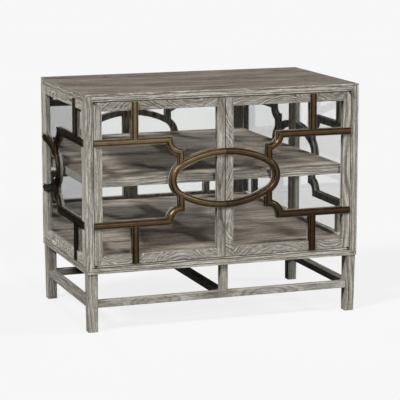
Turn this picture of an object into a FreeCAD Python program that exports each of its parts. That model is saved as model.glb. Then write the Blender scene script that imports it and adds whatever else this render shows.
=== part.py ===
import FreeCAD
import Part
import Sketcher
import math
import os
from FreeCAD import Placement, Rotation, Vector

# Glazed display cabinet: two fretted doors, fretted fixed sides, mirror back, leg and stretcher stand.
# Millimetres, +Z up, front towards -Y, origin under the middle of the cabinet at floor level.

SIZES = {
    # Case
    "case_width": 1060,
    "case_depth": 612,
    "case_height": 652,
    "face_width": 28,
    "top_edge": 7,
    "top_plug": 13,
    "top_ease": 1.5,
    "floor_thickness": 24,
    "floor_front_gap": 2,
    # Face moulding of the case
    "quirk_offset": 7,
    "quirk_width": 2.6,
    "quirk_depth": 2.4,
    "bead_width": 5,
    "bead_quirk_width": 2.4,
    "bead_quirk_depth": 2.6,
    "bead_fall": 0.9,
    "bead_flat": 1.8,
    # Mirror back
    "mirror_inset": 22,
    "mirror_thickness": 4,
    "mirror_rebate": 10,
    "mirror_clearance": 0.8,
    "board_thickness": 8,
    # Door and side frames
    "panel_setback": 1,
    "frame_thickness": 22,
    "stile_width": 30,
    "top_rail_height": 32,
    "bottom_rail_height": 34,
    "glass_lip": 6,
    "glass_thickness": 4,
    "glass_rebate": 8,
    "glass_clearance": 0.8,
    "door_gap": 2.5,
    "meeting_gap": 3,
    # Fretwork pattern, on the centre lines of its bars
    "bar_spread": 300,
    "door_upright_inset": 153,
    "side_upright_inset": 118,
    "stub_offset": 171,
    "ticket_radius": 45,
    "oval_length": 405,
    "oval_height": 196,
    "oval_end_radius": 62,
    # Fretwork sections
    "fret_width": 26,
    "fret_height": 7,
    "fret_edge_height": 4.6,
    "fret_hollow_height": 2.6,
    "fret_crown_width": 8,
    "inner_fret_thickness": 10,
    # Door pivots
    "pivot_inset": 3,
    "pivot_forward": 7,
    "knuckle_diameter": 9,
    "knuckle_height": 4,
    "pin_diameter": 4,
    "pin_clearance": 0.05,
    "leaf_length": 26,
    "leaf_depth": 15,
    "leaf_setback": 4,
    "leaf_thickness": 2.5,
    # Magnet catch
    "catch_width": 62,
    "catch_depth": 24,
    "catch_drop": 16,
    "catch_gap": 0.4,
    "strike_width": 20,
    "strike_height": 12,
    "strike_thickness": 1.5,
    "strike_inset": 6,
    # Shelf
    "shelf_level": 308,
    "shelf_thickness": 30,
    "shelf_front_setback": 44,
    "shelf_back_gap": 2,
    "shelf_end_gap": 8,
    "reed_offset": 6,
    "reed_width": 2,
    "reed_depth": 1.6,
    "rest_length": 18,
    "rest_width": 12,
    "rest_thickness": 3,
    "rest_depth": 10,
    "rest_inset": 8,
    # Stand
    "stand_height": 216,
    "leg_top": 38,
    "leg_taper": 3,
    "leg_inset": 3.5,
    "stretcher_level": 90,
    "stretcher_height": 24,
    "stretcher_width": 32,
    "stretcher_setback": 8,
    "strut_width": 28,
    # Overshoot of cutting shapes past the faces they open
    "cut_margin": 1,
}

doc = FreeCAD.newDocument("GlazedCabinet")
sheet = doc.addObject("Spreadsheet::Sheet", "Sizes")
for row, (alias, value) in enumerate(SIZES.items(), 1):
    sheet.set(f"A{row}", alias)
    sheet.set(f"B{row}", str(value))
    sheet.setAlias(f"B{row}", alias)
doc.recompute()

# Places shared by the pieces
CENTRE = "(Sizes.pivot_forward / 2 + Sizes.knuckle_diameter / 4)"
LEFT = "(-Sizes.case_width / 2)"
RIGHT = "(Sizes.case_width / 2)"
FRONT = f"({CENTRE} - Sizes.case_depth / 2)"
BACK = f"({CENTRE} + Sizes.case_depth / 2)"
LOW = "Sizes.stand_height"
HIGH = "(Sizes.stand_height + Sizes.case_height)"
MIDDLE = "(Sizes.stand_height + Sizes.case_height / 2)"
FRAME_HIGH = f"({HIGH} - Sizes.top_edge)"
TOP_UNDERSIDE = f"({FRAME_HIGH} - Sizes.top_plug)"
OPEN_LEFT = f"({LEFT} + Sizes.face_width)"
OPEN_RIGHT = f"({RIGHT} - Sizes.face_width)"
OPEN_FRONT = f"({FRONT} + Sizes.face_width)"
OPEN_BACK = f"({BACK} - Sizes.face_width)"
OPEN_LOW = f"({LOW} + Sizes.face_width)"
OPEN_HIGH = f"({HIGH} - Sizes.face_width)"
MIRROR_FACE = f"({BACK} - Sizes.mirror_inset)"
DOOR_FACE = f"({FRONT} + Sizes.panel_setback)"
DOOR_REAR = f"({DOOR_FACE} + Sizes.frame_thickness)"
DOOR_LEFT = f"({OPEN_LEFT} + Sizes.door_gap)"
DOOR_RIGHT = "(-Sizes.meeting_gap / 2)"
DOOR_LOW = f"({OPEN_LOW} + Sizes.door_gap)"
DOOR_HIGH = f"({OPEN_HIGH} - Sizes.door_gap)"
SIDE_FACE = f"({LEFT} + Sizes.panel_setback)"
SIDE_REAR = f"({SIDE_FACE} + Sizes.frame_thickness)"
PIVOT_X = f"({DOOR_LEFT} + Sizes.pivot_inset)"
PIVOT_Y = f"({FRONT} - Sizes.pivot_forward)"
SHELF_LOW = "(Sizes.stand_height + Sizes.shelf_level)"
SHELF_HIGH = f"({SHELF_LOW} + Sizes.shelf_thickness)"
SHELF_FRONT = f"({FRONT} + Sizes.shelf_front_setback)"
LEG_LEFT = f"({LEFT} + Sizes.leg_inset)"
LEG_FRONT = f"({FRONT} + Sizes.leg_inset)"
LEG_INNER_LEFT = f"({LEG_LEFT} + Sizes.leg_top)"
LEG_INNER_FRONT = f"({LEG_FRONT} + Sizes.leg_top)"

# Sketch planes: how each lies in the cabinet, and the axis that it is placed along
PLANES = {
    "XY": (Rotation(), "z"),
    "XZ": (Rotation(Vector(1, 0, 0), 90), "y"),
    "YZ": (Rotation(Vector(1, 1, 1), 120), "x"),
}
parts = {}


def keep(label, piece):
    """Name a finished piece of the cabinet."""
    piece.Label = label
    parts[label] = piece
    return piece


def block(name, x, y, z):
    """A square-edged length of wood, glass or metal between two places on each axis."""
    piece = doc.addObject("Part::Box", name)
    for size, axis, (start, end) in (("Length", "x", x), ("Width", "y", y), ("Height", "z", z)):
        piece.setExpression(size, f"{end} - {start}")
        piece.setExpression(f"Placement.Base.{axis}", start)
    return piece


def rod(name, diameter, x, y, z, rotation=Rotation(), length="1"):
    """A round pin or disc that starts at a place and runs along its own turned axis."""
    piece = doc.addObject("Part::Cylinder", name)
    piece.Placement = Placement(Vector(), rotation)
    piece.setExpression("Radius", f"({diameter}) / 2")
    piece.setExpression("Height", length)
    for axis, place in (("x", x), ("y", y), ("z", z)):
        piece.setExpression(f"Placement.Base.{axis}", place)
    return piece


def fuse(name, *pieces):
    """One solid from pieces that touch or overlap."""
    result = doc.addObject("Part::MultiFuse", name)
    result.Shapes = list(pieces)
    result.Refine = True
    return result


def cut(name, base, *tools):
    """The base with every tool taken out of it."""
    result = doc.addObject("Part::Cut", name)
    result.Base = base
    result.Tool = tools[0] if len(tools) == 1 else fuse(f"{name}_tools", *tools)
    result.Refine = True
    return result


def common(name, first, second):
    """What two pieces share."""
    result = doc.addObject("Part::MultiCommon", name)
    result.Shapes = [first, second]
    result.Refine = True
    return result


def group(name, *pieces):
    """Loose solids of one kind, kept together."""
    result = doc.addObject("Part::Compound", name)
    result.Links = list(pieces)
    return result


def mirrored(name, source, axis, place="0"):
    """The source reflected in the plane square to an axis at a place."""
    result = doc.addObject("Part::Mirroring", name)
    result.Source = source
    result.Normal = Vector(*(1.0 if axis == letter else 0.0 for letter in "xyz"))
    result.setExpression(f"Base.{axis}", place)
    return result


def outline(name, plane, place, points):
    """A closed sketch through points, each given as two expressions."""
    sketch = doc.addObject("Sketcher::SketchObject", name)
    rotation, axis = PLANES[plane]
    sketch.Placement = Placement(Vector(), rotation)
    sketch.setExpression(f"Placement.Base.{axis}", place)
    count = len(points)
    turns = [2 * math.pi * number / count for number in range(count)]
    rough = [Vector(math.cos(turn), math.sin(turn), 0) for turn in turns]
    for number in range(count):
        sketch.addGeometry(Part.LineSegment(rough[number], rough[(number + 1) % count]))
    for number in range(count):
        sketch.addConstraint(Sketcher.Constraint("Coincident", number, 2, (number + 1) % count, 1))
    for number, coordinates in enumerate(points):
        for kind, coordinate in zip(("DistanceX", "DistanceY"), coordinates):
            index = sketch.addConstraint(Sketcher.Constraint(kind, number, 1, 1.0))
            sketch.setExpression(f"Constraints[{index}]", coordinate)
    return sketch


def straight(name, plane, place, start, end):
    """A straight centre line in a plane."""
    line = doc.addObject("Part::Line", name)
    across = "X" if plane == "XZ" else "Y"
    for mark, (along, height) in (("1", start), ("2", end)):
        line.setExpression(f"{across}{mark}", along)
        line.setExpression(f"Z{mark}", height)
        line.setExpression(f"{'Y' if plane == 'XZ' else 'X'}{mark}", place)
    return line


def arc(name, plane, place, centre, radius, first, last):
    """A round centre line in a plane, between two angles counted from its first axis."""
    curve = doc.addObject("Part::Circle", name)
    rotation, axis = PLANES[plane]
    along = "x" if plane == "XZ" else "y"
    curve.Placement = Placement(Vector(), rotation)
    curve.setExpression("Radius", radius)
    curve.setExpression("Angle1", first)
    curve.setExpression("Angle2", last)
    for letter, expression in ((axis, place), (along, centre[0]), ("z", centre[1])):
        curve.setExpression(f"Placement.Base.{letter}", expression)
    return curve


def sweep(name, section, spine, edges):
    """A section carried along a centre line, mitred where the line turns a corner."""
    piece = doc.addObject("Part::Sweep", name)
    piece.Sections = [section]
    piece.Spine = (spine, [f"Edge{number}" for number in range(1, edges + 1)])
    piece.Solid = True
    piece.Frenet = False
    piece.Transition = "Right corner"
    return piece


def run(name, section, length):
    """A section carried straight up."""
    piece = doc.addObject("Part::Extrusion", name)
    piece.Base = section
    piece.DirMode = "Custom"
    piece.Dir = Vector(0, 0, 1)
    piece.setExpression("LengthFwd", length)
    piece.Solid = True
    return piece


# Face moulding: a quirk near the outer edge, then a second quirk with a bead next to the opening
BEAD_START = "(Sizes.face_width - Sizes.bead_width)"
BEAD_MIDDLE = "(Sizes.face_width - Sizes.bead_width / 2)"
QUIRK_SECTION = [
    ("Sizes.quirk_offset", "-Sizes.cut_margin"),
    ("Sizes.quirk_offset", "Sizes.quirk_depth"),
    ("(Sizes.quirk_offset + Sizes.quirk_width * 0.6)", "Sizes.quirk_depth"),
    ("(Sizes.quirk_offset + Sizes.quirk_width)", "0"),
    ("(Sizes.quirk_offset + Sizes.quirk_width)", "-Sizes.cut_margin"),
]
BEAD_SECTION = [
    (f"({BEAD_START} - Sizes.bead_quirk_width)", "-Sizes.cut_margin"),
    (f"({BEAD_START} - Sizes.bead_quirk_width)", "Sizes.bead_quirk_depth"),
    (BEAD_START, "Sizes.bead_quirk_depth"),
    (BEAD_START, "Sizes.bead_fall"),
    (f"({BEAD_MIDDLE} - Sizes.bead_flat / 2)", "0"),
    (f"({BEAD_MIDDLE} + Sizes.bead_flat / 2)", "0"),
    ("Sizes.face_width", "Sizes.bead_fall"),
    ("(Sizes.face_width + Sizes.cut_margin)", "Sizes.bead_fall"),
    ("(Sizes.face_width + Sizes.cut_margin)", "-Sizes.cut_margin"),
]


def face_moulding(name, turned, face, low, high):
    """The cutting shape of the moulding round one face of the case."""
    plane, square = ("YZ", "XZ") if turned else ("XZ", "YZ")
    middle = CENTRE if turned else "0"
    corners = [(middle, LOW), (high, LOW), (high, HIGH), (low, HIGH), (low, LOW)]
    spine = outline(f"{name}_spine", plane, face, corners)
    cutters = []
    for part, section in (("quirk", QUIRK_SECTION), ("bead", BEAD_SECTION)):
        points = [(f"({face} + {depth})", f"({LOW} + {inward})") for inward, depth in section]
        sketch = outline(f"{name}_{part}_section", square, middle, points)
        cutters.append(sweep(f"{name}_{part}", sketch, spine, len(corners)))
    return cutters


front_moulding = face_moulding("front_moulding", False, FRONT, LEFT, RIGHT)
left_moulding = face_moulding("left_moulding", True, LEFT, FRONT, BACK)

# Door pivots: a leaf with a riveted pin on the case, a bored leaf on the door


def leaf(name, front, low):
    """A hinge leaf let into an edge, with an arm that reaches out to the pivot."""
    high = f"({low} + Sizes.leaf_thickness)"
    arm_right = f"({PIVOT_X} + Sizes.knuckle_diameter / 2)"
    leaf_right = f"({DOOR_LEFT} + Sizes.leaf_length)"
    rear = f"({front} + Sizes.leaf_depth)"
    arm = block(f"{name}_arm", (DOOR_LEFT, arm_right), (PIVOT_Y, rear), (low, high))
    plate = block(
        f"{name}_plate", (DOOR_LEFT, leaf_right), (f"({front} + Sizes.leaf_setback)", rear), (low, high))
    return fuse(name, arm, plate)


DOOR_LEAF_LOW = f"({DOOR_HIGH} - Sizes.leaf_thickness)"
DOOR_KNUCKLE_LOW = f"({DOOR_HIGH} - Sizes.knuckle_height)"
PIN_LENGTH = f"({OPEN_HIGH} - {DOOR_HIGH} + 2 * Sizes.knuckle_height)"
case_leaf = leaf("case_leaf", FRONT, OPEN_HIGH)
case_knuckle = rod(
    "case_knuckle", "Sizes.knuckle_diameter", PIVOT_X, PIVOT_Y, OPEN_HIGH, length="Sizes.knuckle_height")
case_pin = rod("case_pin", "Sizes.pin_diameter", PIVOT_X, PIVOT_Y, DOOR_KNUCKLE_LOW, length=PIN_LENGTH)
case_hinge = fuse("case_hinge", case_leaf, case_knuckle, case_pin)
case_hinge_low = mirrored("case_hinge_low", case_hinge, "z", MIDDLE)
case_hinge_pair = group("case_hinge_pair", case_hinge, case_hinge_low)
keep("case_hinge_leaves", group(
    "case_hinge_leaves", case_hinge, case_hinge_low,
    mirrored("case_hinge_right", case_hinge, "x"), mirrored("case_hinge_low_right", case_hinge_low, "x")))

door_leaf = leaf("door_leaf", DOOR_FACE, DOOR_LEAF_LOW)
door_knuckle = rod(
    "door_knuckle", "Sizes.knuckle_diameter", PIVOT_X, PIVOT_Y, DOOR_KNUCKLE_LOW,
    length="Sizes.knuckle_height")
door_bore = rod(
    "door_bore", "Sizes.pin_diameter + 2 * Sizes.pin_clearance", PIVOT_X, PIVOT_Y,
    f"{DOOR_KNUCKLE_LOW} - Sizes.cut_margin", length="Sizes.knuckle_height + 2 * Sizes.cut_margin")
door_hinge = cut("door_hinge", fuse("door_hinge_blank", door_leaf, door_knuckle), door_bore)
left_hinges = keep("left_door_hinge_leaves", group(
    "left_door_hinge_leaves", door_hinge, mirrored("door_hinge_low", door_hinge, "z", MIDDLE)))
keep("right_door_hinge_leaves", mirrored("right_door_hinge_leaves", left_hinges, "x"))
door_leaf_low = mirrored("door_leaf_low", door_leaf, "z", MIDDLE)

# Case: corner posts, rails, top and floor
rear_rebate = block(
    "rear_rebate",
    (f"({OPEN_LEFT} - Sizes.mirror_rebate)", f"({OPEN_RIGHT} + Sizes.mirror_rebate)"),
    (MIRROR_FACE, f"({BACK} + Sizes.cut_margin)"),
    (f"({OPEN_LOW} - Sizes.mirror_rebate)", f"({OPEN_HIGH} + Sizes.mirror_rebate)"))
X_LEFT = (LEFT, OPEN_LEFT)
X_SPAN = (OPEN_LEFT, OPEN_RIGHT)
Y_FRONT = (FRONT, OPEN_FRONT)
Y_BACK = (OPEN_BACK, BACK)
Y_SPAN = (OPEN_FRONT, OPEN_BACK)
Z_POST = (LOW, FRAME_HIGH)
Z_TOP_RAIL = (OPEN_HIGH, FRAME_HIGH)
Z_LOW_RAIL = (LOW, OPEN_LOW)

post_front = keep("post_front_left", cut(
    "post_front_left", block("post_front_blank", X_LEFT, Y_FRONT, Z_POST), *front_moulding, *left_moulding))
keep("post_front_right", mirrored("post_front_right", post_front, "x"))
post_back = keep("post_back_left", cut(
    "post_back_left", block("post_back_blank", X_LEFT, Y_BACK, Z_POST), *left_moulding, rear_rebate))
keep("post_back_right", mirrored("post_back_right", post_back, "x"))

case_leaves = fuse("case_leaves", case_leaf, mirrored("case_leaf_right", case_leaf, "x"))
case_leaves_low = mirrored("case_leaves_low", case_leaves, "z", MIDDLE)
for level, height, leaves in (("top", Z_TOP_RAIL, case_leaves), ("bottom", Z_LOW_RAIL, case_leaves_low)):
    keep(f"rail_{level}_front", cut(
        f"rail_{level}_front", block(f"rail_{level}_front_blank", X_SPAN, Y_FRONT, height),
        *front_moulding, leaves))
    keep(f"rail_{level}_back", cut(
        f"rail_{level}_back", block(f"rail_{level}_back_blank", X_SPAN, Y_BACK, height), rear_rebate))
    left_rail = keep(f"rail_{level}_left", cut(
        f"rail_{level}_left", block(f"rail_{level}_left_blank", X_LEFT, Y_SPAN, height), *left_moulding))
    keep(f"rail_{level}_right", mirrored(f"rail_{level}_right", left_rail, "x"))

top_slab = block("top_slab", (LEFT, RIGHT), (FRONT, BACK), (FRAME_HIGH, HIGH))
top_plug = block("top_plug", X_SPAN, Y_SPAN, (TOP_UNDERSIDE, FRAME_HIGH))
top_spine = outline("top_spine", "XY", HIGH, [
    ("0", FRONT), (RIGHT, FRONT), (RIGHT, BACK), (LEFT, BACK), (LEFT, FRONT)])
top_ease_section = outline("top_ease_section", "YZ", "0", [
    (FRONT, f"{HIGH} - Sizes.top_ease"),
    (f"{FRONT} + Sizes.top_ease", HIGH),
    (f"{FRONT} + Sizes.top_ease", f"{HIGH} + Sizes.cut_margin"),
    (f"{FRONT} - Sizes.cut_margin", f"{HIGH} + Sizes.cut_margin"),
    (f"{FRONT} - Sizes.cut_margin", f"{HIGH} - Sizes.top_ease")])
top_ease = sweep("top_ease", top_ease_section, top_spine, 5)
keep("top_panel", cut("top_panel", fuse("top_blank", top_slab, top_plug), top_ease))

# The floor lies on the bottom rails, notched around the posts
Z_FLOOR = (OPEN_LOW, f"({OPEN_LOW} + Sizes.floor_thickness)")
floor_ends = block("floor_ends", (SIDE_REAR, f"(-{SIDE_REAR})"), Y_SPAN, Z_FLOOR)
floor_middle = block(
    "floor_middle", X_SPAN,
    (f"({DOOR_REAR} + Sizes.floor_front_gap)", f"({MIRROR_FACE} - Sizes.shelf_back_gap)"), Z_FLOOR)
keep("floor_panel", fuse("floor_panel", floor_ends, floor_middle))

# Mirror and the board behind it
BACK_FIT = "(Sizes.mirror_rebate - Sizes.mirror_clearance)"
BACK_X = (f"({OPEN_LEFT} - {BACK_FIT})", f"({OPEN_RIGHT} + {BACK_FIT})")
BACK_Z = (f"({OPEN_LOW} - {BACK_FIT})", f"({OPEN_HIGH} + {BACK_FIT})")
MIRROR_REAR = f"({MIRROR_FACE} + Sizes.mirror_thickness)"
keep("mirror", block("mirror", BACK_X, (MIRROR_FACE, MIRROR_REAR), BACK_Z))
keep("back_board", block(
    "back_board", BACK_X, (MIRROR_REAR, f"({MIRROR_REAR} + Sizes.board_thickness)"), BACK_Z))

# Fretwork: half an oval, stubs with ticket corners, bars and uprights
HALF_WIDTH = "Sizes.fret_width / 2"
MOULDED_HALF = [
    (HALF_WIDTH, "0"),
    (HALF_WIDTH, "Sizes.fret_edge_height"),
    ("(Sizes.fret_width + Sizes.fret_crown_width) / 4", "Sizes.fret_hollow_height"),
    ("Sizes.fret_crown_width / 2", "Sizes.fret_height"),
]
PLAIN_HALF = [
    (HALF_WIDTH, "0"),
    (HALF_WIDTH, "Sizes.inner_fret_thickness"),
]
OVAL_REACH = "(Sizes.oval_length / 2 - Sizes.oval_end_radius)"
OVAL_RISE = "(Sizes.oval_height / 2)"
OVAL_SIDE_RADIUS = (
    f"(({OVAL_REACH}^2 + {OVAL_RISE}^2 - Sizes.oval_end_radius^2)"
    f" / (2 * ({OVAL_RISE} - Sizes.oval_end_radius)))")
OVAL_TURN = f"(atan(({OVAL_SIDE_RADIUS} - {OVAL_RISE}) / {OVAL_REACH}) / 1 deg)"
BAR_HIGH = f"({MIDDLE} + Sizes.bar_spread / 2)"


def bar_section(name, half, plane, place, face, inward, centre, flipped=False):
    """The closed section of a bar that lies on a face, its width centred on a place."""
    sign = "+" if inward else "-"
    both = half + [(f"-{across}", height) for across, height in reversed(half)]
    points = [(f"({face} {sign} {height})", f"({centre} + {across})") for across, height in both]
    return outline(name, plane, place, [point[::-1] for point in points] if flipped else points)


def lattice(name, turned, half, face, inward, oval_at, outer, upright_inset, top):
    """Bars of one fretted panel: half oval, stubs, ticket corners, bars and uprights."""
    plane, square = ("YZ", "XZ") if turned else ("XZ", "YZ")
    stub = f"({oval_at} - Sizes.stub_offset)"
    upright = f"({outer} + {upright_inset})"
    bar_end = f"({stub} - Sizes.ticket_radius)"
    stub_high = f"({BAR_HIGH} - Sizes.ticket_radius)"
    bar_spine = group(
        f"{name}_bar_spine",
        straight(f"{name}_bar_line", plane, face, (outer, BAR_HIGH), (bar_end, BAR_HIGH)),
        arc(f"{name}_ticket_line", plane, face, (stub, BAR_HIGH), "Sizes.ticket_radius", "180", "270"),
        straight(f"{name}_stub_line", plane, face, (stub, stub_high), (stub, f"({MIDDLE} + {OVAL_RISE} / 2)")))
    bar_profile = bar_section(f"{name}_bar_section", half, square, outer, face, inward, BAR_HIGH)
    bar = sweep(f"{name}_bar", bar_profile, bar_spine, 3)

    side_drop = f"({OVAL_SIDE_RADIUS} - {OVAL_RISE})"
    oval_spine = group(
        f"{name}_oval_spine",
        arc(f"{name}_oval_high", plane, face, (oval_at, f"{MIDDLE} - {side_drop}"), OVAL_SIDE_RADIUS,
            "90", f"180 - {OVAL_TURN}"),
        arc(f"{name}_oval_end", plane, face, (f"{oval_at} - {OVAL_REACH}", MIDDLE), "Sizes.oval_end_radius",
            f"180 - {OVAL_TURN}", f"180 + {OVAL_TURN}"),
        arc(f"{name}_oval_low", plane, face, (oval_at, f"{MIDDLE} + {side_drop}"), OVAL_SIDE_RADIUS,
            f"180 + {OVAL_TURN}", "270"))
    oval_profile = bar_section(
        f"{name}_oval_section", half, square, oval_at, face, inward, f"({MIDDLE} + {OVAL_RISE})")
    oval = sweep(f"{name}_oval", oval_profile, oval_spine, 3)

    upright_profile = bar_section(
        f"{name}_upright_section", half, "XY", BAR_HIGH, face, inward, upright, flipped=not turned)
    rise = run(f"{name}_upright", upright_profile, f"{top} - {BAR_HIGH}")
    high = fuse(f"{name}_high", bar, rise)
    return fuse(f"{name}_lattice", oval, high, mirrored(f"{name}_low", high, "z", MIDDLE))


def panel_block(name, turned, along, through, z):
    """A block of a panel: along its width and through its thickness, for a door or a side."""
    return block(name, through, along, z) if turned else block(name, along, through, z)


def glazed_panel(name, turned, along, face, height, oval_at, upright_inset):
    """Stiles, rails, glass, bronze fretwork and the oak fret frame behind the glass."""
    start, end = along
    low, high = height
    rear = f"({face} + Sizes.frame_thickness)"
    glass_face = f"({face} + Sizes.glass_lip)"
    glass_rear = f"({glass_face} + Sizes.glass_thickness)"
    sight_start = f"({start} + Sizes.stile_width)"
    sight_end = f"({end} - Sizes.stile_width)"
    sight_low = f"({low} + Sizes.bottom_rail_height)"
    sight_high = f"({high} - Sizes.top_rail_height)"
    fit = "(Sizes.glass_rebate - Sizes.glass_clearance)"
    glass_along = (f"({sight_start} - {fit})", f"({sight_end} + {fit})")
    glass_height = (f"({sight_low} - {fit})", f"({sight_high} + {fit})")
    rebate = panel_block(
        f"{name}_rebate", turned,
        (f"({sight_start} - Sizes.glass_rebate)", f"({sight_end} + Sizes.glass_rebate)"),
        (glass_face, f"({rear} + Sizes.cut_margin)"),
        (f"({sight_low} - Sizes.glass_rebate)", f"({sight_high} + Sizes.glass_rebate)"))
    members = {
        "first_stile": ((start, sight_start), height),
        "last_stile": ((sight_end, end), height),
        "top_rail": ((sight_start, sight_end), (sight_high, high)),
        "bottom_rail": ((sight_start, sight_end), (low, sight_low)),
    }
    pieces = {}
    for member, (width, rise) in members.items():
        blank = panel_block(f"{name}_{member}_blank", turned, width, (face, rear), rise)
        pieces[member] = cut(f"{name}_{member}", blank, rebate)
    pieces["glass"] = panel_block(f"{name}_glass", turned, glass_along, (glass_face, glass_rear), glass_height)

    bars = lattice(f"{name}_fret", turned, MOULDED_HALF, face, False, oval_at, start, upright_inset, high)
    reach = panel_block(f"{name}_fret_reach", turned, along, (f"({face} - Sizes.fret_height)", face), height)
    pieces["fret"] = common(f"{name}_fret", bars, reach)

    inner_bars = lattice(
        f"{name}_inner", turned, PLAIN_HALF, glass_rear, True, oval_at, start, upright_inset, high)
    inner_reach = panel_block(f"{name}_inner_reach", turned, glass_along, (glass_rear, rear), glass_height)
    sight = panel_block(
        f"{name}_sight", turned, (sight_start, sight_end), (glass_face, f"({rear} + Sizes.cut_margin)"),
        (sight_low, sight_high))
    bead_frame = cut(f"{name}_bead_frame", inner_reach, sight)
    pieces["inner_fret"] = fuse(
        f"{name}_inner_fret", bead_frame, common(f"{name}_inner_bars", inner_bars, inner_reach))
    return pieces


# Doors: the left one is built and the right one is its mirror image
left_door = glazed_panel(
    "left_door", False, (DOOR_LEFT, DOOR_RIGHT), DOOR_FACE, (DOOR_LOW, DOOR_HIGH), "0",
    "Sizes.door_upright_inset")
left_door["hinge_stile"] = cut(
    "left_door_hinge_stile", left_door.pop("first_stile"), door_leaf, door_leaf_low)
left_door["meeting_stile"] = left_door.pop("last_stile")
for member, piece in left_door.items():
    keep(f"left_door_{member}", piece)
    keep(f"right_door_{member}", mirrored(f"right_door_{member}", piece, "x"))

# Shelf with a reeded front edge, on four flat steel rests let into the side stiles
shelf_end = f"({SIDE_REAR} + Sizes.shelf_end_gap)"
shelf_x = (shelf_end, f"(-{shelf_end})")
shelf_blank = block(
    "shelf_blank", shelf_x, (SHELF_FRONT, f"({MIRROR_FACE} - Sizes.shelf_back_gap)"), (SHELF_LOW, SHELF_HIGH))
reeds = []
for name, start in (
        ("low_reed", f"({SHELF_LOW} + Sizes.reed_offset)"),
        ("high_reed", f"({SHELF_HIGH} - Sizes.reed_offset - Sizes.reed_width)")):
    reeds.append(block(
        name, (f"({shelf_end} - Sizes.cut_margin)", f"(-{shelf_end} + Sizes.cut_margin)"),
        (f"({SHELF_FRONT} - Sizes.cut_margin)", f"({SHELF_FRONT} + Sizes.reed_depth)"),
        (start, f"({start} + Sizes.reed_width)")))
keep("shelf", cut("shelf", shelf_blank, *reeds))

REST_Y = f"({OPEN_FRONT} + Sizes.rest_inset)"
rest = block(
    "rest", (f"({SIDE_REAR} - Sizes.rest_depth)", f"({SIDE_REAR} + Sizes.rest_length)"),
    (REST_Y, f"({REST_Y} + Sizes.rest_width)"), (f"({SHELF_LOW} - Sizes.rest_thickness)", SHELF_LOW))
rest_back = mirrored("rest_back", rest, "y", CENTRE)
keep("shelf_rests", group(
    "shelf_rests", rest, rest_back, mirrored("rest_right", rest, "x"),
    mirrored("rest_back_right", rest_back, "x")))

# Fixed sides: the half oval stands against the back, where the mirror completes it
left_side = glazed_panel(
    "left_side", True, (OPEN_FRONT, OPEN_BACK), SIDE_FACE, (OPEN_LOW, OPEN_HIGH), OPEN_BACK,
    "Sizes.side_upright_inset")
front_stile = cut("left_side_front_stile", left_side.pop("first_stile"), rest)
back_stile = cut("left_side_back_stile", left_side.pop("last_stile"), rest_back)
left_side["stiles"] = group("left_side_stiles", front_stile, back_stile)
left_side["rails"] = group("left_side_rails", left_side.pop("top_rail"), left_side.pop("bottom_rail"))
for member, piece in left_side.items():
    keep(f"left_side_{member}", piece)
    keep(f"right_side_{member}", mirrored(f"right_side_{member}", piece, "x"))

# Magnet catch under the top, and a strike plate on each door
CATCH_FRONT = f"({DOOR_REAR} + Sizes.strike_thickness + Sizes.catch_gap)"
CATCH_REAR = f"({CATCH_FRONT} + Sizes.catch_depth)"
CATCH_X = ("(-Sizes.catch_width / 2)", "(Sizes.catch_width / 2)")
CATCH_LOW = f"({OPEN_HIGH} - Sizes.catch_drop)"
catch_head = block("catch_head", CATCH_X, (CATCH_FRONT, CATCH_REAR), (CATCH_LOW, OPEN_HIGH))
catch_foot = block("catch_foot", CATCH_X, (OPEN_FRONT, CATCH_REAR), (OPEN_HIGH, TOP_UNDERSIDE))
keep("magnet_catch", fuse("magnet_catch", catch_head, catch_foot))
strike_right = f"({DOOR_RIGHT} - Sizes.strike_inset)"
left_strike = keep("left_strike_plate", block(
    "left_strike_plate", (f"({strike_right} - Sizes.strike_width)", strike_right),
    (DOOR_REAR, f"({DOOR_REAR} + Sizes.strike_thickness)"),
    (CATCH_LOW, f"({CATCH_LOW} + Sizes.strike_height)")))
keep("right_strike_plate", mirrored("right_strike_plate", left_strike, "x"))

# Stand: tapered legs, stretchers and struts
leg = doc.addObject("Part::Wedge", "leg_front_left")
leg.Placement = Placement(Vector(), Rotation(Vector(1, 0, 0), 90))
LEG_EDGES = {
    "Xmin": f"{LEG_LEFT} + Sizes.leg_taper",
    "X2min": LEG_LEFT,
    "Xmax": LEG_INNER_LEFT,
    "X2max": LEG_INNER_LEFT,
    "Ymin": "0",
    "Ymax": LOW,
    "Zmin": f"-{LEG_INNER_FRONT}",
    "Z2min": f"-{LEG_INNER_FRONT}",
    "Zmax": f"-{LEG_FRONT} - Sizes.leg_taper",
    "Z2max": f"-{LEG_FRONT}",
}
for edge, place in LEG_EDGES.items():
    leg.setExpression(edge, place)
leg_back = mirrored("leg_back_left", leg, "y", CENTRE)
keep("leg_front_left", leg)
keep("leg_back_left", leg_back)
keep("leg_front_right", mirrored("leg_front_right", leg, "x"))
keep("leg_back_right", mirrored("leg_back_right", leg_back, "x"))

STRETCHER_FRONT = f"({FRONT} + Sizes.stretcher_setback)"
STRETCHER_REAR = f"({STRETCHER_FRONT} + Sizes.stretcher_width)"
STRETCHER_LEFT = f"({LEFT} + Sizes.stretcher_setback)"
STRETCHER_HIGH = "(Sizes.stretcher_level + Sizes.stretcher_height)"
STRETCHER_Z = ("Sizes.stretcher_level", STRETCHER_HIGH)
stretcher_front = keep("stretcher_front", block(
    "stretcher_front", (LEG_INNER_LEFT, f"(-{LEG_INNER_LEFT})"), (STRETCHER_FRONT, STRETCHER_REAR),
    STRETCHER_Z))
keep("stretcher_back", mirrored("stretcher_back", stretcher_front, "y", CENTRE))
stretcher_left = keep("stretcher_left", block(
    "stretcher_left", (STRETCHER_LEFT, f"({STRETCHER_LEFT} + Sizes.stretcher_width)"),
    (LEG_INNER_FRONT, f"(2 * {CENTRE} - {LEG_INNER_FRONT})"), STRETCHER_Z))
keep("stretcher_right", mirrored("stretcher_right", stretcher_left, "x"))
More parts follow.
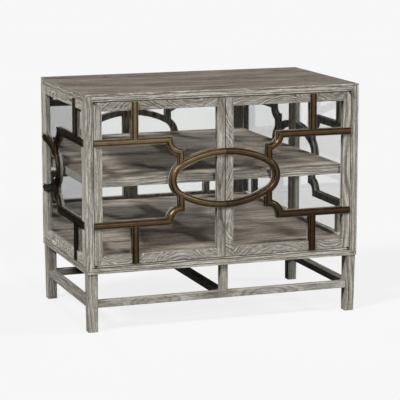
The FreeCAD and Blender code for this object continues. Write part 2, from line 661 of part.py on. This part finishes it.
keep("stretcher_centre", block(
    "stretcher_centre", ("(-Sizes.stretcher_width / 2)", "(Sizes.stretcher_width / 2)"),
    (STRETCHER_REAR, f"(2 * {CENTRE} - {STRETCHER_REAR})"), STRETCHER_Z))
strut_front = f"({STRETCHER_FRONT} + (Sizes.stretcher_width - Sizes.strut_width) / 2)"
strut = keep("strut_front", block(
    "strut_front", ("(-Sizes.strut_width / 2)", "(Sizes.strut_width / 2)"),
    (strut_front, f"({strut_front} + Sizes.strut_width)"), (STRETCHER_HIGH, LOW)))
keep("strut_back", mirrored("strut_back", strut, "y", CENTRE))

doc.recompute()

# Every object has to be sound before anything is written
faults = [item.Name for item in doc.Objects if {"Invalid", "Error"} & set(item.State)]
for label, piece in parts.items():
    if piece.Shape.isNull() or not piece.Shape.isValid() or not piece.Shape.Solids:
        faults.append(label)
if faults:
    raise RuntimeError("Unsound pieces: " + ", ".join(faults))

os.makedirs("parts", exist_ok=True)
for label, piece in parts.items():
    piece.Shape.exportStep(f"parts/{label}.step")
print(f"{len(parts)} pieces written")
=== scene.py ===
import math

import bpy
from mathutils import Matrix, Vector


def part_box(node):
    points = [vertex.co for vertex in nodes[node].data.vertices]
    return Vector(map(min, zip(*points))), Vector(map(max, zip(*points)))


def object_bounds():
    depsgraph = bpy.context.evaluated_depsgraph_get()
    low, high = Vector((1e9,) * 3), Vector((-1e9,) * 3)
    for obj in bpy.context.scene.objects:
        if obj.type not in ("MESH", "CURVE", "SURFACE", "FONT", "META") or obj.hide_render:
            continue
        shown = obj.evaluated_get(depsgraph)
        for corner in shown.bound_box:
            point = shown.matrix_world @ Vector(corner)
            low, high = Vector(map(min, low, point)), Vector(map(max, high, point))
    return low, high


# Glazed display cabinet in limed oak, with bronzed fretwork, clear glass and a mirror back.
# Metres, +Z up, front towards -Y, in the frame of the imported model.

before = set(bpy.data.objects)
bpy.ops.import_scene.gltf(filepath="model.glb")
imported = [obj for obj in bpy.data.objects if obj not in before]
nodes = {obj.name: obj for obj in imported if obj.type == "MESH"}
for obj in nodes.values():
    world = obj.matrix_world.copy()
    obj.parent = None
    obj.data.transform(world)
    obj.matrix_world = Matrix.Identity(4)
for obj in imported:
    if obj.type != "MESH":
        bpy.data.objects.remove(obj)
CAD_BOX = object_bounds()
scene = bpy.context.scene


class Shader:
    """The node tree of a material or of the world, built up by short calls."""

    def __init__(self, owner):
        self.owner = owner
        self.owner.use_nodes = True
        self.tree = self.owner.node_tree
        self.tree.nodes.clear()

    def put(self, socket, value):
        """Link a socket, or set it to a constant."""
        if isinstance(value, bpy.types.NodeSocket):
            self.tree.links.new(value, socket)
        else:
            socket.default_value = value

    def node(self, kind, inputs=None, **settings):
        """Add a node, set its properties, and fill its inputs by name or number."""
        made = self.tree.nodes.new("ShaderNode" + kind)
        for key, value in settings.items():
            setattr(made, key, value)
        for key, value in (inputs or {}).items():
            self.put(made.inputs[key], value)
        return made

    def place(self):
        """Where a point lies in the cabinet's frame, wherever its body has moved."""
        return self.node("TexCoord").outputs["Object"]

    def axes(self, vector):
        """The parts of a vector, by the letters X, Y and Z."""
        return self.node("SeparateXYZ", {0: vector}).outputs

    def vector(self, *parts):
        return self.node("CombineXYZ", dict(enumerate(parts))).outputs[0]

    def math(self, operation, first, second=0.0, clamp=False):
        made = self.node("Math", {0: first, 1: second}, operation=operation, use_clamp=clamp)
        return made.outputs[0]

    def centred(self, value):
        """A value between 0 and 1, moved to lie about 0."""
        return self.math("SUBTRACT", value, 0.5)

    def total(self, *shares):
        """The sum of values, each times its share."""
        parts = [self.math("MULTIPLY", value, share) for value, share in shares]
        added = parts[0]
        for part in parts[1:]:
            added = self.math("ADD", added, part)
        return added

    def noise(self, vector, scale, detail=2.0, roughness=0.5):
        made = self.node("TexNoise", {
            "Vector": vector, "Scale": scale, "Detail": detail, "Roughness": roughness})
        return made.outputs["Fac"]

    def stretch(self, vector, scale):
        """Scale a vector by another, axis by axis."""
        return self.node("VectorMath", {0: vector, 1: scale}, operation="MULTIPLY").outputs[0]

    def spread(self, value, low, high, out_low=0.0, out_high=1.0):
        """Map a range of values to another, held at its ends."""
        made = self.node("MapRange", {
            "Value": value, "From Min": low, "From Max": high, "To Min": out_low, "To Max": out_high})
        return made.outputs["Result"]

    def ramp(self, value, stops):
        """Colours at places along a value."""
        made = self.node("ValToRGB", {"Fac": value})
        elements = made.color_ramp.elements
        while len(elements) < len(stops):
            elements.new(0.5)
        for element, (stop, colour) in zip(elements, stops):
            element.position = stop
            element.color = (*colour, 1.0)
        return made.outputs["Color"]

    def mix(self, factor, first, second):
        """Blend two colours."""
        made = self.node("Mix", data_type="RGBA")
        for key, value in (("Factor_Float", factor), ("A_Color", first), ("B_Color", second)):
            socket = next(item for item in made.inputs if item.identifier == key)
            self.put(socket, (*value, 1.0) if isinstance(value, tuple) else value)
        return next(item for item in made.outputs if item.identifier == "Result_Color")

    def arrises(self, radius, flat, samples):
        """Normals eased over the arrises, and how far they turn from the flat faces' normals."""
        eased = self.node("Bevel", {"Radius": radius}, samples=samples).outputs["Normal"]
        facing = self.node("VectorMath", {0: eased, 1: flat}, operation="DOT_PRODUCT").outputs["Value"]
        return eased, self.math("SUBTRACT", 1.0, facing)

    def openness(self, reach, only_local=False):
        """1 in the open, and less in hollows and joints."""
        made = self.node("AmbientOcclusion", {"Distance": reach}, samples=8, only_local=only_local)
        return made.outputs["AO"]

    def bump(self, height, strength, distance, normal=None):
        inputs = {"Height": height, "Strength": strength, "Distance": distance}
        if normal is not None:
            inputs["Normal"] = normal
        return self.node("Bump", inputs).outputs["Normal"]

    def output(self, shader):
        self.node("OutputMaterial", {"Surface": shader})
        return self.owner

    def surface(self, colour, roughness, normal=None, metallic=0.0, specular=0.5):
        """Finish with one principled surface."""
        inputs = {
            "Base Color": colour, "Roughness": roughness, "Metallic": metallic,
            "Specular IOR Level": specular}
        if normal is not None:
            inputs["Normal"] = normal
        return self.output(self.node("BsdfPrincipled", inputs).outputs["BSDF"])

    def layers(self, factor, first, second):
        """Finish with a blend of two shaders."""
        made = self.node("MixShader", {0: factor, 1: first.outputs[0], 2: second.outputs[0]})
        return self.output(made.outputs["Shader"])


def new_material(name):
    return Shader(bpy.data.materials.new(name))


def shade(stops, share):
    """The same colours, all paler or darker."""
    return tuple((stop, tuple(share * part for part in tint)) for stop, tint in stops)


# Where most values of a noise lie
MOST = (0.3, 0.7)

# Colours of oak, from its dark pores to its limed ridges
PALE_OAK = (
    (0.0, (0.045, 0.039, 0.030)), (0.30, (0.165, 0.150, 0.124)),
    (0.62, (0.345, 0.322, 0.276)), (1.0, (0.610, 0.588, 0.528)))
# Darker, browner oak for the top's level face: partly its own tone and partly painted shade
BROWN_OAK = (
    (0.0, (0.017, 0.013, 0.009)), (0.30, (0.068, 0.055, 0.042)),
    (0.62, (0.151, 0.129, 0.106)), (1.0, (0.276, 0.250, 0.215)))
SHELF_OAK = (
    (0.0, (0.038, 0.029, 0.020)), (0.30, (0.160, 0.128, 0.096)),
    (0.62, (0.355, 0.302, 0.243)), (1.0, (0.640, 0.575, 0.490)))

# Oak darker on the front faces of the door's inner frets, pale oak put on faces that lie in shade as
# painted light, and the dark glaze with painted shade in joints and recesses
DARK_FRONT_OAK = ((0.0, (0.026, 0.018, 0.010)), (1.0, (0.075, 0.052, 0.031)))
PAINTED_LIGHT_OAK = ((0.0, (0.230, 0.215, 0.185)), (1.0, (0.840, 0.810, 0.730)))
GLAZE_AND_SHADE = (0.026, 0.021, 0.015)

# The board in its log: chance shifts each board, and the log's heart repeats across and in depth
GRAIN_ORDER = {"X": ("Y", "Z", "X"), "Y": ("X", "Z", "Y"), "Z": ("X", "Y", "Z")}
BOARD_SHIFT = (4.3, 2.9, 6.1)
HALF_LOG_ACROSS = 0.11
HALF_LOG_DEPTH = 0.13
SWAY_REACH = 0.12
ARCH_RATE = 14.3
ARCH_RISE = 0.033
ARCH_IN_DEPTH = 0.6
RING_RATE = 215.0
RING_DETAIL = 3.0
RING_ROUGHNESS = 0.6
RING_EDGES = (0.38, 0.62)

# Noise drawn out along the grain: its rates across and along, its detail and its roughness
SWAY = (9.0, 3.0, 3.0, 0.6)
FLECK = (360.0, 80.0, 2.0, 0.6)
FLECK_EDGES = (0.34, 0.66)
PORE = (1100.0, 70.0, 1.0, 0.5)
PORE_EDGES = (0.56, 0.68)
TONE = (34.0, 4.0, 3.0, 0.5)
STAIN = (17.0, 3.2, 3.0, 0.5)
FIBRE_ACROSS = 230.0
FIBRE_ALONG = 12.0
FIBRE_WANDER = 14.0
FIBRE_DETAIL = 4.0
FIBRE_ROUGHNESS = 0.65
FIBRE_EDGES = (0.32, 0.68)

# How much each counts in the figure or its colour, and how far the figure is lowered
RING_SHARE = 0.44
FIBRE_SHARE = 0.46
FLECK_SHARE = 0.22
TONE_SHARE = 0.20
CHANCE_SHARE = 0.05
STAIN_SHARE = 0.9
PORE_SHARE = 0.5
FIGURE_FALL = 0.11
FIGURE_FALL_WANDER = 0.04

# Worn arrises, glaze with painted shade, relief and gloss
EASE = 0.0018
ARRIS_TURN = (0.02, 0.25)
RUB_SHARE = 0.25
GLAZE_SHADE_REACH = 0.008
GLAZE_SHADE_OPENNESS = (0.20, 0.55)
GLAZE_SHADE_SHARE = 0.90
RELIEF_DEPTH = 0.0004
RELIEF_STRENGTH = 0.35
FIBRE_RELIEF = 0.5
OAK_ROUGHNESS = (0.86, 0.72)
OAK_SPECULAR = 0.08

# How far a face has to look up, forward or sideways to count as level, front or end
FACE_TURN = (0.6, 0.9)

# The rim of the right side's inner fret, at the rear and at the foot, painted paler as painted light
RIM_WIDTH = 0.0085
RIM_EDGE = 0.001
RIM_LOW, RIM_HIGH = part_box("right_side_inner_fret")
REAR_RIM = RIM_HIGH.y - RIM_WIDTH
LOW_RIM = RIM_LOW.z + RIM_WIDTH


def growth_rings(m, order, sway, wander):
    """Rings of the log, seen as long arches where the board meets them at a slant."""
    drift = m.math("MULTIPLY", m.centred(sway), SWAY_REACH * wander)
    wave = m.math("SINE", m.math("MULTIPLY", order[2], ARCH_RATE))
    slant = m.math("MULTIPLY", m.math("ADD", wave, 1.0), ARCH_RISE * wander)
    across = m.math("ADD", m.math("PINGPONG", order[0], HALF_LOG_ACROSS), m.math("ADD", slant, drift))
    sunk = m.math("MULTIPLY", slant, ARCH_IN_DEPTH)
    depth = m.math("ADD", m.math("PINGPONG", order[1], HALF_LOG_DEPTH), sunk)
    squares = m.math("ADD", m.math("POWER", across, 2.0), m.math("POWER", depth, 2.0))
    ring = m.node("TexNoise", {
        "W": m.math("SQRT", squares), "Scale": RING_RATE, "Detail": RING_DETAIL,
        "Roughness": RING_ROUGHNESS}, noise_dimensions="1D")
    return m.spread(ring.outputs["Fac"], *RING_EDGES)


def oak(name, grain, wander, pale=1.0, flats=None, fronts=None, ends=None, rim=None):
    """Oak whose grain runs along one axis of the cabinet, straight or wandering into arches.
    Level, front and end faces and the rear and low rim can have colours of their own, which on some parts
    are painted light and shade."""
    stops = shade(PALE_OAK, pale)
    dark, palest = stops[1][1], stops[3][1]
    m = new_material(name)
    place = m.place()
    chance = m.node("ObjectInfo").outputs["Random"]
    lot = m.vector(*(m.math("MULTIPLY", chance, shift) for shift in BOARD_SHIFT))
    moved = m.axes(m.node("VectorMath", {0: place, 1: lot}, operation="ADD").outputs[0])
    order = [moved[letter] for letter in GRAIN_ORDER[grain]]
    board = m.vector(*order)

    def streaks(across, along, detail, roughness):
        return m.noise(m.stretch(board, (across, across, along)), 1.0, detail, roughness)

    # Rings, fibres, flecks, pores and slow changes of tone
    rings = growth_rings(m, order, streaks(*SWAY), wander)
    fibre_along = FIBRE_ALONG + FIBRE_WANDER * wander
    fibres = streaks(FIBRE_ACROSS, fibre_along, FIBRE_DETAIL, FIBRE_ROUGHNESS)
    fibre = m.spread(fibres, *FIBRE_EDGES)
    fleck = m.spread(streaks(*FLECK), *FLECK_EDGES)
    pores = m.spread(streaks(*PORE), *PORE_EDGES)
    tone = m.spread(streaks(*TONE), *MOST)
    figure = m.total(
        (rings, RING_SHARE), (fibre, FIBRE_SHARE), (fleck, FLECK_SHARE), (tone, TONE_SHARE),
        (m.centred(chance), CHANCE_SHARE))
    figure = m.math("SUBTRACT", figure, FIGURE_FALL + FIGURE_FALL_WANDER * wander, clamp=True)

    # Colours by the way a face looks, and by place, which on some parts are painted light and shade
    colour = m.ramp(figure, stops)
    flat = m.node("NewGeometry").outputs["True Normal"]
    facing = m.axes(flat)
    if flats is not None:
        smudge = m.math("MULTIPLY", m.centred(streaks(*STAIN)), STAIN_SHARE)
        stained = m.ramp(m.math("ADD", figure, smudge, clamp=True), flats)
        colour = m.mix(m.spread(m.math("ABSOLUTE", facing["Z"]), *FACE_TURN), colour, stained)
    if fronts is not None:
        forward = m.math("MULTIPLY", facing["Y"], -1.0)
        colour = m.mix(m.spread(forward, *FACE_TURN), colour, m.ramp(figure, fronts))
    if ends is not None:
        sideways = m.math("ABSOLUTE", facing["X"])
        colour = m.mix(m.spread(sideways, *FACE_TURN), colour, m.ramp(figure, ends))
    if rim is not None:
        spot = m.axes(place)
        rear = m.spread(spot["Y"], REAR_RIM - RIM_EDGE, REAR_RIM)
        low = m.spread(spot["Z"], LOW_RIM - RIM_EDGE, LOW_RIM, 1.0, 0.0)
        colour = m.mix(m.math("MAXIMUM", rear, low), colour, m.ramp(figure, rim))
    colour = m.mix(m.math("MULTIPLY", pores, PORE_SHARE), colour, dark)

    # Eased arrises, rubbed paler, and dark glaze with painted shade in quirks, joints and recesses,
    # darkest where other parts stand close
    eased, turned = m.arrises(EASE, flat, samples=4)
    colour = m.mix(m.spread(turned, *ARRIS_TURN, 0.0, RUB_SHARE), colour, palest)
    glaze_and_shade = m.spread(m.openness(GLAZE_SHADE_REACH), *GLAZE_SHADE_OPENNESS, GLAZE_SHADE_SHARE, 0.0)
    colour = m.mix(glaze_and_shade, colour, GLAZE_AND_SHADE)

    relief = m.math("SUBTRACT", m.math("MULTIPLY", fibre, FIBRE_RELIEF), pores)
    normal = m.bump(relief, RELIEF_STRENGTH, RELIEF_DEPTH, eased)
    roughness = m.spread(figure, 0.0, 1.0, *OAK_ROUGHNESS)
    return m.surface(colour, roughness, normal, specular=OAK_SPECULAR)


# Bronze: heights between which it goes from dark to bright, and its clouds, specks, bright arrises of
# wear and painted highlight, and hollows
FULL_DARK_BELOW = 0.32
NO_DARK_ABOVE = 0.78
CLOUD = (30.0, 4.0, 0.6)
CLOUD_EDGES = (0.32, 0.70)
CLOUD_ROUGHNESS = 0.14
SPECK_RATE = 420.0
SPECK_EDGES = (0.45, 0.72)
SPECK_SHARE = 0.35
PIT_RATE = 600.0
PIT_DEPTH = 0.0003
PIT_STRENGTH = 0.12
RUST = (0.60, 0.42, 0.40)
RUST_SHARE = 0.75
WEAR_GLINT_RADIUS = 0.0020
WEAR_GLINT_TURN = (0.02, 0.20)
CLOUDED_WEAR_GLINT = 0.35
HOLLOW_REACH = 0.010
HOLLOW_OPENNESS = (0.70, 1.0)


def bronze(name, base, bright, dark, rough, low_darkening):
    """Bronzed metal: darker towards the bottom, black in the hollows, and bright on its arrises, partly
    rubbed wear and partly painted highlight.
    """
    m = new_material(name)
    place = m.place()
    cloud = m.spread(m.noise(place, *CLOUD), *CLOUD_EDGES)
    speck = m.spread(m.noise(place, SPECK_RATE), *SPECK_EDGES)
    rust = tuple(share * part for share, part in zip(RUST, base))
    darker_low = m.spread(m.axes(place)["Z"], FULL_DARK_BELOW, NO_DARK_ABOVE, low_darkening, 0.0)
    colour = m.mix(m.math("MULTIPLY", cloud, RUST_SHARE), base, rust)
    colour = m.mix(darker_low, colour, dark)
    colour = m.mix(m.math("MULTIPLY", speck, SPECK_SHARE), colour, dark)

    flat = m.node("NewGeometry").outputs["Normal"]
    eased, turned = m.arrises(WEAR_GLINT_RADIUS, flat, samples=6)
    patches = m.spread(cloud, 0.0, 1.0, 1.0, CLOUDED_WEAR_GLINT)
    wear_and_glint = m.math("MULTIPLY", m.spread(turned, *WEAR_GLINT_TURN), patches)
    # Arrises take the bright colour: partly rubbed wear, partly painted highlight
    colour = m.mix(wear_and_glint, colour, m.mix(darker_low, bright, base))
    in_open = m.spread(m.openness(HOLLOW_REACH, only_local=True), *HOLLOW_OPENNESS)
    colour = m.mix(in_open, dark, colour)

    normal = m.bump(m.noise(place, PIT_RATE), PIT_STRENGTH, PIT_DEPTH, eased)
    roughness = m.spread(cloud, 0.0, 1.0, rough, rough + CLOUD_ROUGHNESS)
    return m.surface(colour, roughness, normal, metallic=1.0)


# Glass, mirror, steel and plastic
WIPE_STRETCH = (3.0, 3.0, 1.4)
WIPE_RATE = 6.0
WIPE_DETAIL = 3.0
WIPE_EDGES = (0.45, 0.75)
WIPE_ROUGHNESS = 0.03
HAZE_RATE = 5.0
HAZE_DETAIL = 3.0
DULL_SILVER = (0.80, 0.81, 0.81)
BRIGHT_SILVER = (0.86, 0.865, 0.86)
SILVER_ROUGHNESS = (0.01, 0.03)
BRUSH_SHADE = 0.7
BRUSH_ROUGHNESS = (0.28, 0.42)
BRUSH_STRENGTH = 0.1
MOULD_RATE = 900.0
MOULD_SHADE = 1.5
MOULD_ROUGHNESS = 0.55
MOULD_STRENGTH = 0.15
FINE_RELIEF = 0.0002


def clear_glass(name, index, tint):
    """Clear glass that lets lamp light through by its tint, with a trace of wiping marks."""
    m = new_material(name)
    wiped = m.noise(m.stretch(m.place(), WIPE_STRETCH), WIPE_RATE, WIPE_DETAIL)
    smear = m.spread(wiped, *WIPE_EDGES, 0.0, WIPE_ROUGHNESS)
    pane = m.node("BsdfPrincipled", {
        "Base Color": (*tint, 1.0), "Roughness": smear, "IOR": index, "Transmission Weight": 1.0})
    path = m.node("LightPath").outputs
    passing = m.math("MAXIMUM", path["Is Shadow Ray"], path["Is Diffuse Ray"])
    open_way = m.node("BsdfTransparent", {"Color": (*(math.sqrt(part) for part in tint), 1.0)})
    return m.layers(passing, pane, open_way)


def silvered(name):
    """Mirror silvering, very slightly uneven."""
    m = new_material(name)
    haze = m.spread(m.noise(m.place(), HAZE_RATE, HAZE_DETAIL), *MOST)
    colour = m.mix(haze, DULL_SILVER, BRIGHT_SILVER)
    return m.surface(colour, m.spread(haze, 0.0, 1.0, *SILVER_ROUGHNESS), metallic=1.0)


def brushed(name, base, grain_scale):
    """Drawn or brushed metal."""
    m = new_material(name)
    lines = m.noise(m.stretch(m.place(), grain_scale), 1.0)
    darker = tuple(BRUSH_SHADE * part for part in base)
    colour = m.mix(m.spread(lines, *MOST), base, darker)
    roughness = m.spread(lines, *MOST, *BRUSH_ROUGHNESS)
    return m.surface(colour, roughness, m.bump(lines, BRUSH_STRENGTH, FINE_RELIEF), metallic=1.0)


def moulded(name, base):
    """Dull moulded plastic."""
    m = new_material(name)
    grain = m.noise(m.place(), MOULD_RATE)
    paler = tuple(MOULD_SHADE * part for part in base)
    colour = m.mix(m.spread(grain, *MOST), base, paler)
    return m.surface(colour, MOULD_ROUGHNESS, m.bump(grain, MOULD_STRENGTH, FINE_RELIEF))


# Oak of each part of the cabinet, by the axis of its grain; the paler and darker copies of one oak, part
# by part, are painted light and shade
STRAIGHT = 0.15
ARCHED = 1.0
CASE = {axis: oak(f"case_oak_{axis.lower()}", axis, STRAIGHT, pale=1.12) for axis in "XYZ"}
STAND = {axis: oak(f"stand_oak_{axis.lower()}", axis, STRAIGHT, pale=0.86) for axis in "XYZ"}
# The sides' oak: paler copies as painted light, with the stiles' front-facing faces paler still as
# painted light
SIDE = {
    "Y": oak("side_oak_y", "Y", ARCHED, pale=1.4),
    "Z": oak("side_oak_z", "Z", STRAIGHT, pale=1.5, fronts=PAINTED_LIGHT_OAK),
}
DOOR = {"X": oak("door_oak_x", "X", ARCHED), "Z": oak("door_oak_z", "Z", STRAIGHT)}
RIGHT_RAIL = oak("right_rail_oak", "X", ARCHED, pale=0.9)
FIGURED = oak("figured_oak", "Z", ARCHED)
FRET = oak("fret_oak", "Z", STRAIGHT, pale=0.9, fronts=DARK_FRONT_OAK)
# The right side's inner fret: a darker copy as painted shade, with its front faces and its rear and low
# rim paler as painted light
LIGHT_AND_SHADE_FRET = oak("light_and_shade_fret_oak", "Z", STRAIGHT, pale=0.42, fronts=PALE_OAK, rim=PAINTED_LIGHT_OAK)
# The centre stretcher under the case: a much darker copy of the oak, painted shade
SHADED_STRETCHER = oak("painted_shade_oak", "Y", STRAIGHT, pale=0.4)
# The right rear leg: a darker copy as painted shade, with a paler front face as painted light
BACK_LEG = oak("back_leg_oak", "Z", STRAIGHT, pale=0.8, fronts=PAINTED_LIGHT_OAK)
BROWN = oak("brown_oak", "X", wander=0.25, flats=shade(BROWN_OAK, 0.91))
# The shelf: paler than the cabinet floor on its level and front faces, and pale on its ends, as painted
# light
SHELF = oak("shelf_oak", "X", wander=0.2, pale=1.2, flats=shade(SHELF_OAK, 1.20), ends=PAINTED_LIGHT_OAK)
CABINET_FLOOR = oak("floor_oak", "X", wander=0.2, flats=SHELF_OAK)

# Metals, glass and the catch
# The left door's bronze, whose near-white arris colour is partly a painted highlight
BRONZE = bronze(
    "bronze", base=(0.200, 0.147, 0.065), bright=(0.95, 0.87, 0.70), dark=(0.017, 0.010, 0.005),
    rough=0.34, low_darkening=0.74)
# The right door's bronze is a darker, redder copy of the left door's, and the sides' a still darker one:
# painted shade
RIGHT_SHADED_BRONZE = bronze(
    "right_shaded_bronze", base=(0.094, 0.061, 0.026), bright=(0.60, 0.52, 0.40), dark=(0.015, 0.008, 0.004),
    rough=0.30, low_darkening=0.68)
SIDE_SHADED_BRONZE = bronze(
    "side_shaded_bronze", base=(0.080, 0.056, 0.032), bright=(0.26, 0.20, 0.13), dark=(0.009, 0.006, 0.003),
    rough=0.38, low_darkening=0.60)
BRASS = bronze(
    "brass", base=(0.150, 0.124, 0.062), bright=(0.36, 0.305, 0.170), dark=(0.016, 0.012, 0.006),
    rough=0.34, low_darkening=0.0)
GLASS = clear_glass("clear_glass", index=1.18, tint=(0.97, 0.975, 0.97))
SIDE_GLASS = clear_glass("side_glass", index=1.46, tint=(0.86, 0.865, 0.865))
MIRROR = silvered("silvering")
STEEL = brushed("steel", base=(0.55, 0.54, 0.52), grain_scale=(40.0, 900.0, 900.0))
HOUSING = moulded("housing", base=(0.030, 0.028, 0.026))

# What each piece is made of, by the first of these that is in its name
FINISHES = {
    "side_glass": SIDE_GLASS,
    "_glass": GLASS,
    "mirror": MIRROR,
    "hinge_leaves": BRASS,
    "strike_plate": STEEL,
    "shelf_rests": STEEL,
    "magnet_catch": HOUSING,
    "door_inner_fret": FRET,
    "left_side_inner_fret": SIDE["Z"],
    "inner_fret": LIGHT_AND_SHADE_FRET,
    "side_fret": SIDE_SHADED_BRONZE,
    "right_door_fret": RIGHT_SHADED_BRONZE,
    "left_door_fret": BRONZE,
    "back_board": CASE["Z"],
    "top_panel": BROWN,
    "floor_panel": CABINET_FLOOR,
    "shelf": SHELF,
    "leg_back_right": BACK_LEG,
    "leg_back": CASE["Z"],
    "leg_": STAND["Z"],
    "strut_": STAND["Z"],
    "stretcher_left": STAND["Y"],
    "stretcher_right": STAND["Y"],
    "stretcher_centre": SHADED_STRETCHER,
    "stretcher_": STAND["X"],
    "post_back": SIDE["Z"],
    "post_": CASE["Z"],
    "side_stiles": SIDE["Z"],
    "side_rails": SIDE["Y"],
    "right_door_meeting_stile": FIGURED,
    "stile": DOOR["Z"],
    "right_door_top_rail": RIGHT_RAIL,
    "right_door_bottom_rail": RIGHT_RAIL,
    "door_top_rail": DOOR["X"],
    "door_bottom_rail": DOOR["X"],
    "rail_top_left": CASE["Y"],
    "rail_top_right": CASE["Y"],
    "rail_bottom_left": CASE["Y"],
    "rail_bottom_right": CASE["Y"],
    "rail": CASE["X"],
}
for name, piece in nodes.items():
    finish = next(material for part, material in FINISHES.items() if part in name)
    for slot in piece.material_slots:
        slot.material = finish


def seen(m):
    """1 for what the camera sees, straight or by way of glass and metal."""
    path = m.node("LightPath").outputs
    bright = m.math("MAXIMUM", path["Is Camera Ray"], path["Is Glossy Ray"])
    bright = m.math("MAXIMUM", bright, path["Is Transmission Ray"])
    direct = m.math("LESS_THAN", path["Diffuse Depth"], 0.5)
    return m.math("MULTIPLY", bright, direct)


def studio_piece(name, corners, faces, material):
    """A plain surface that stands in the studio."""
    mesh = bpy.data.meshes.new(name)
    mesh.from_pydata(corners, [], faces)
    mesh.materials.append(material)
    made = bpy.data.objects.new(name, mesh)
    scene.collection.objects.link(made)
    return made


# Pale studio floor: it shows nearly white with the object's shadow, and throws little light back
FLOOR_REACH = 40.0
FLOOR_CLOUD_RATE = 0.7
FLOOR_CLOUD_DETAIL = 3.0
FLOOR_CLOUDS = (0.94, 1.0)
FLOOR_TONES = (0.08, 0.60)
FLOOR_WHITE = 0.945
FLOOR_GLOW = 0.88


def pale_floor():
    m = new_material("pale_floor")
    clouds = m.noise(m.place(), FLOOR_CLOUD_RATE, FLOOR_CLOUD_DETAIL)
    cloud = m.spread(clouds, *MOST, *FLOOR_CLOUDS)
    tone = m.math("MULTIPLY", cloud, m.spread(seen(m), 0.0, 1.0, *FLOOR_TONES))
    lit = m.node("BsdfDiffuse", {"Color": tone})
    glow = m.node("Emission", {"Color": (FLOOR_WHITE, FLOOR_WHITE, FLOOR_WHITE, 1.0), "Strength": 1.0})
    return m.layers(m.math("MULTIPLY", seen(m), FLOOR_GLOW), lit, glow)


FLOOR_CORNERS = [(FLOOR_REACH * x, FLOOR_REACH * y, 0.0) for x, y in ((-1, -1), (1, -1), (1, 1), (-1, 1))]
floor = studio_piece("floor", FLOOR_CORNERS, [(0, 1, 2, 3)], pale_floor())

# White background, with a little fill light
BACKGROUND = 0.922
FILL = 0.02
scene.world = bpy.data.worlds.new("studio")
sky = Shader(scene.world)
sky_light = sky.node("Background", {
    "Color": (BACKGROUND, BACKGROUND, BACKGROUND, 1.0),
    "Strength": sky.spread(seen(sky), 0.0, 1.0, FILL, 1.0)})
sky.node("OutputWorld", {"Surface": sky_light.outputs[0]})


def lamp(name, azimuth, elevation, strength, spread, gloss=True):
    """A broad soft lamp far off, so that both ends of the case are lit alike.
    Azimuth 0 is in front, and + is to the right."""
    turn, tilt = math.radians(azimuth), math.radians(elevation)
    level = math.cos(tilt)
    source = Vector((math.sin(turn) * level, -math.cos(turn) * level, math.sin(tilt)))
    light = bpy.data.lights.new(name, "SUN")
    light.energy = strength
    light.angle = math.radians(spread)
    made = bpy.data.objects.new(name, light)
    made.rotation_euler = source.to_track_quat("Z", "Y").to_euler()
    made.visible_glossy = gloss
    scene.collection.objects.link(made)


lamp("front", azimuth=1.0, elevation=24.0, strength=1.55, spread=4.0)
lamp("left", azimuth=-63.0, elevation=43.0, strength=3.5, spread=10.0)
lamp("right", azimuth=74.0, elevation=35.0, strength=2.3, spread=16.0)
lamp("back", azimuth=180.0, elevation=4.0, strength=2.0, spread=5.0, gloss=False)

# A dark cloth at the left, on the floor and up behind, which only gloss reflects
FLAG_RATE = 2.0
FLAG_GREYS = (0.015, 0.03)
FLAG_GAP = 0.084
FLAG_NEAR = CAD_BOX[0][0] - FLAG_GAP
FLAG_FAR = -12.0
FLAG_FRONT = -2.0
FLAG_BACK = 1.6
FLAG_FOOT = 0.004
FLAG_TOP = 2.0
FLAG_LINE = ((FLAG_FRONT, FLAG_FOOT), (FLAG_BACK, FLAG_FOOT), (FLAG_BACK, FLAG_TOP))


def dark_cloth():
    m = new_material("dark_flag")
    grey = m.spread(m.noise(m.place(), FLAG_RATE), *MOST, *FLAG_GREYS)
    cloth = m.node("BsdfDiffuse", {"Color": grey})
    bounced = m.math("GREATER_THAN", m.node("LightPath").outputs["Glossy Depth"], 0.5)
    return m.layers(bounced, m.node("BsdfTransparent"), cloth)


FLAG_CORNERS = [(x, y, z) for y, z in FLAG_LINE for x in (FLAG_FAR, FLAG_NEAR)]
flag = studio_piece("flag", FLAG_CORNERS, [(0, 1, 3, 2), (2, 3, 5, 4)], dark_cloth())
flag.visible_camera = False
flag.visible_diffuse = False
flag.visible_shadow = False

# Camera, fitted to the corners of the case and legs
FOCAL_PIXELS = 1812.0
FRAME_PIXELS = 400
SENSOR = 36.0
CAMERA_PLACE = (-2.2905, -6.4285, 1.6440)
CAMERA_PITCH = 10.270
CAMERA_TURN = 19.679
CAMERA_REACH = 200.0
camera_data = bpy.data.cameras.new("camera")
camera_data.sensor_width = SENSOR
camera_data.lens = FOCAL_PIXELS / FRAME_PIXELS * SENSOR
camera_data.clip_end = CAMERA_REACH
camera = bpy.data.objects.new("camera", camera_data)
camera.location = CAMERA_PLACE
camera.rotation_euler = (math.radians(90.0 - CAMERA_PITCH), 0.0, math.radians(-CAMERA_TURN))
scene.collection.objects.link(camera)
scene.camera = camera
scene.view_settings.view_transform = "Standard"
